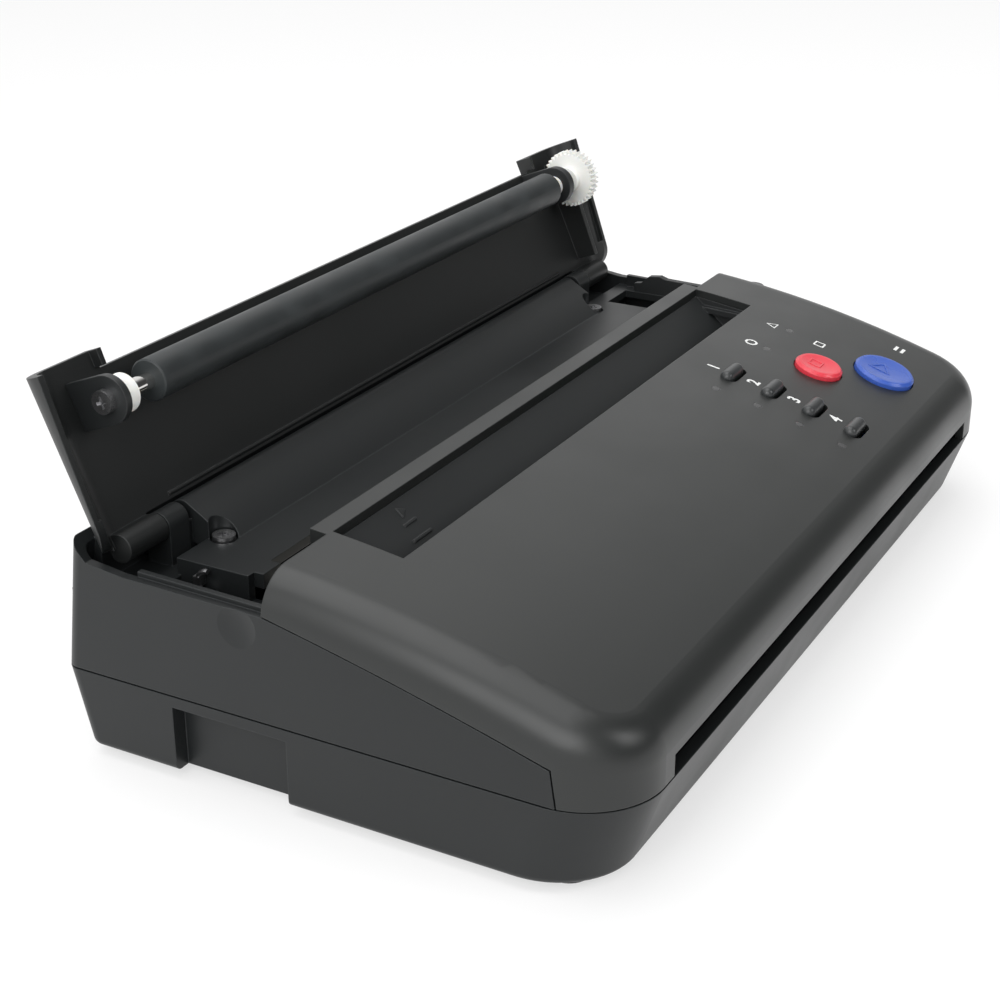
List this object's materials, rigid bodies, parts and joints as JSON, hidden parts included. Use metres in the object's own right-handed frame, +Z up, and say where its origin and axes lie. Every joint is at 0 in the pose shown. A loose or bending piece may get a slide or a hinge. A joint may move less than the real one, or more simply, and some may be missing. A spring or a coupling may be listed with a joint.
{
  "type": "thermal stencil copier",
  "caption": "Black desktop thermal stencil copier with its hinged rear lid open, feed trough, front slot and coloured keys.",
  "frame": {"origin": "under the middle of the machine's bounding box, on the surface its feet stand on, with the lid open", "axes": "+X along the machine towards its gear end, +Y towards the hinge side, +Z up"},
  "size_m": [0.28, 0.1622, 0.1],
  "materials": {
    "case_black": "satin moulded black, fine grain",
    "cover_black": "satin moulded black, fine grain",
    "lid_black": "satin moulded black",
    "inner_black": "dull moulded black",
    "foot_rubber": "dull",
    "roller_rubber": "ground smooth",
    "chrome_steel": "plated and polished",
    "screw_steel": "zinc plated",
    "sheet_steel": "pressed, zinc plated",
    "motor_steel": "zinc plated can",
    "pinion_brass": "cut",
    "gear_white": "natural white, slightly waxy",
    "head_ceramic": "polished",
    "heatsink_aluminium": "extruded",
    "scanner_glass": "clear",
    "board_green": "solder resist",
    "window_clear": "smoked clear",
    "fitting_black": "moulded",
    "mode_grey": "satin",
    "stop_red": "smooth",
    "copy_blue": "smooth"
  },
  "bodies": {
    "chassis": {"base_screws": "screw_steel", "board_parts": "inner_black", "button_board": "board_green", "deck_screws": "screw_steel", "drive_motor": "motor_steel", "exit_guide": "inner_black", "feed_bearings": "gear_white", "gear_axles": "screw_steel", "gear_guard": "inner_black", "gear_plate": "sheet_steel", "head_heatsink": "heatsink_aluminium", "head_springs": "screw_steel", "hinge_pins": "screw_steel", "indicator_windows": "window_clear", "left_roller_post": "sheet_steel", "lid_catch": "screw_steel", "lower_base": "case_black", "main_board": "board_green", "middle_housing": "case_black", "paper_chute": "inner_black", "power_inlet": "fitting_black", "power_supply": "board_green", "print_head": "head_ceramic", "rubber_feet": "foot_rubber", "scan_glass": "scanner_glass", "scan_sensor": "inner_black", "spring_bridge": "sheet_steel", "status_lamps": "window_clear", "switch_frame": "fitting_black", "tact_switches": "inner_black", "top_cover": "cover_black"},
    "lid": {"rear_lid": "lid_black", "left_bracket": "inner_black", "right_bracket": "inner_black", "bracket_screws": "screw_steel", "platen_bushings": "gear_white"},
    "platen": {"platen_roller": "roller_rubber", "platen_shaft": "chrome_steel", "platen_gear": "gear_white"},
    "feed": {"feed_roller": "roller_rubber", "feed_shaft": "chrome_steel", "feed_gear": "gear_white"},
    "drive_wheel": {"drive_gear": "gear_white"},
    "idler_wheel": {"idler_gear": "gear_white"},
    "pinion_wheel": {"motor_pinion": "pinion_brass", "motor_shaft": "screw_steel"},
    "rocker": {"power_rocker": "fitting_black"},
    "stop_key": {"stop_button": "stop_red"},
    "copy_key": {"copy_button": "copy_blue"},
    "mode_key_1": {"mode_button_1": "mode_grey"},
    "mode_key_2": {"mode_button_2": "mode_grey"},
    "mode_key_3": {"mode_button_3": "mode_grey"},
    "mode_key_4": {"mode_button_4": "mode_grey"}
  },
  "joints": [
    {"name": "lid_hinge", "type": "hinge", "parent": "chassis", "child": "lid", "pos_m": [0, 0.05837, 0.0556], "axis": [1, 0, 0], "range_deg": [0, 111]},
    {"name": "platen_spin", "type": "hinge", "parent": "lid", "child": "platen", "pos_m": [0, 0.06417, 0.09054], "axis": [1, 0, 0], "continuous": true},
    {"name": "drive_gear_spin", "type": "hinge", "parent": "chassis", "child": "drive_wheel", "pos_m": [0, 0.02367, 0.0275], "axis": [1, 0, 0], "continuous": true},
    {"name": "idler_gear_spin", "type": "hinge", "parent": "chassis", "child": "idler_wheel", "pos_m": [0, -0.00032, 0.02656], "axis": [1, 0, 0], "continuous": true},
    {"name": "feed_roller_spin", "type": "hinge", "parent": "chassis", "child": "feed", "pos_m": [0, -0.02013, 0.0335], "axis": [1, 0, 0], "continuous": true},
    {"name": "motor_spin", "type": "hinge", "parent": "chassis", "child": "pinion_wheel", "pos_m": [0, 0.04127, 0.02376], "axis": [1, 0, 0], "continuous": true},
    {"name": "power_rocker_tip", "type": "hinge", "parent": "chassis", "child": "rocker", "pos_m": [-0.074, 0.07075, 0.01305], "axis": [0, 0.2534, 0.9674], "range_deg": [0, 18]},
    {"name": "mode_button_1_press", "type": "slide", "parent": "chassis", "child": "mode_key_1", "axis": [0, 0.2033, -0.9791], "range_m": [0, 0.0008], "stiffness_N_per_m": 600, "springref_m": -0.0005},
    {"name": "mode_button_2_press", "type": "slide", "parent": "chassis", "child": "mode_key_2", "axis": [0, 0.2378, -0.9713], "range_m": [0, 0.0008], "stiffness_N_per_m": 600, "springref_m": -0.0005},
    {"name": "mode_button_3_press", "type": "slide", "parent": "chassis", "child": "mode_key_3", "axis": [0, 0.2723, -0.9622], "range_m": [0, 0.0008], "stiffness_N_per_m": 600, "springref_m": -0.0005},
    {"name": "mode_button_4_press", "type": "slide", "parent": "chassis", "child": "mode_key_4", "axis": [0, 0.3067, -0.9518], "range_m": [0, 0.0008], "stiffness_N_per_m": 600, "springref_m": -0.0005},
    {"name": "stop_button_press", "type": "slide", "parent": "chassis", "child": "stop_key", "axis": [0, 0.2482, -0.9687], "range_m": [0, 0.0008], "stiffness_N_per_m": 600, "springref_m": -0.0005},
    {"name": "copy_button_press", "type": "slide", "parent": "chassis", "child": "copy_key", "axis": [0, 0.2895, -0.9572], "range_m": [0, 0.0008], "stiffness_N_per_m": 600, "springref_m": -0.0005}
  ],
  "couplings": [
    {"joint": "idler_gear_spin", "follows": "drive_gear_spin", "ratio": -1},
    {"joint": "feed_roller_spin", "follows": "drive_gear_spin", "ratio": 1.3333},
    {"joint": "motor_spin", "follows": "drive_gear_spin", "ratio": -2}
  ]
}
